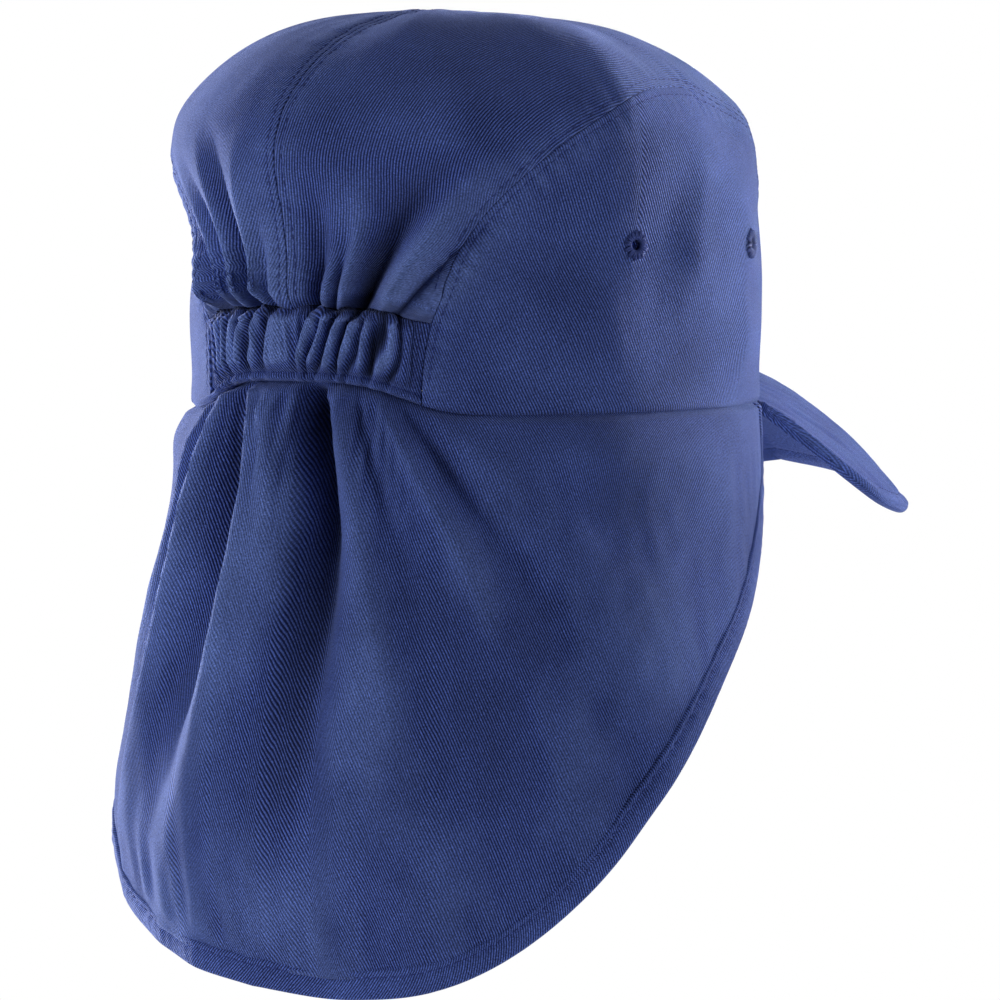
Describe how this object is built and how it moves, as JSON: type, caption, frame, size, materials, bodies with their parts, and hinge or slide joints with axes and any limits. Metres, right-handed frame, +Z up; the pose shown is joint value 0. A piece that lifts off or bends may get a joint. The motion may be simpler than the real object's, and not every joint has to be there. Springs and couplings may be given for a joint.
{
  "type": "legionnaire cap",
  "caption": "Soft cloth cap with a curved peak at the front, a gathered elastic casing at the nape and a long bound flap that hangs over the neck and ears.",
  "frame": {"origin": "centre of the head opening, level with the crown's lower edge at the sides", "axes": "+Z up through the crown, -Y forwards along the peak, -X towards the wearer's right"},
  "size_m": [0.1885, 0.2965, 0.2832],
  "materials": {
    "crown_cloth": "washed cotton twill",
    "flap_cloth": "washed cotton twill",
    "casing_cloth": "washed cotton twill, gathered",
    "binding_tape": "folded cotton tape",
    "peak_cloth": "cotton twill over a stiff insert",
    "eyelet_thread": "close satin stitches of thread"
  },
  "bodies": {
    "root": {"centre_panel_left": "crown_cloth", "centre_panel_right": "crown_cloth", "side_panel_left": "crown_cloth", "side_panel_right": "crown_cloth", "eyelet_left_back": "eyelet_thread", "eyelet_left_front": "eyelet_thread", "eyelet_right_back": "eyelet_thread", "eyelet_right_front": "eyelet_thread", "elastic_casing": "casing_cloth", "neck_flap": "flap_cloth", "flap_binding": "binding_tape", "peak": "peak_cloth"}
  },
  "joints": []
}
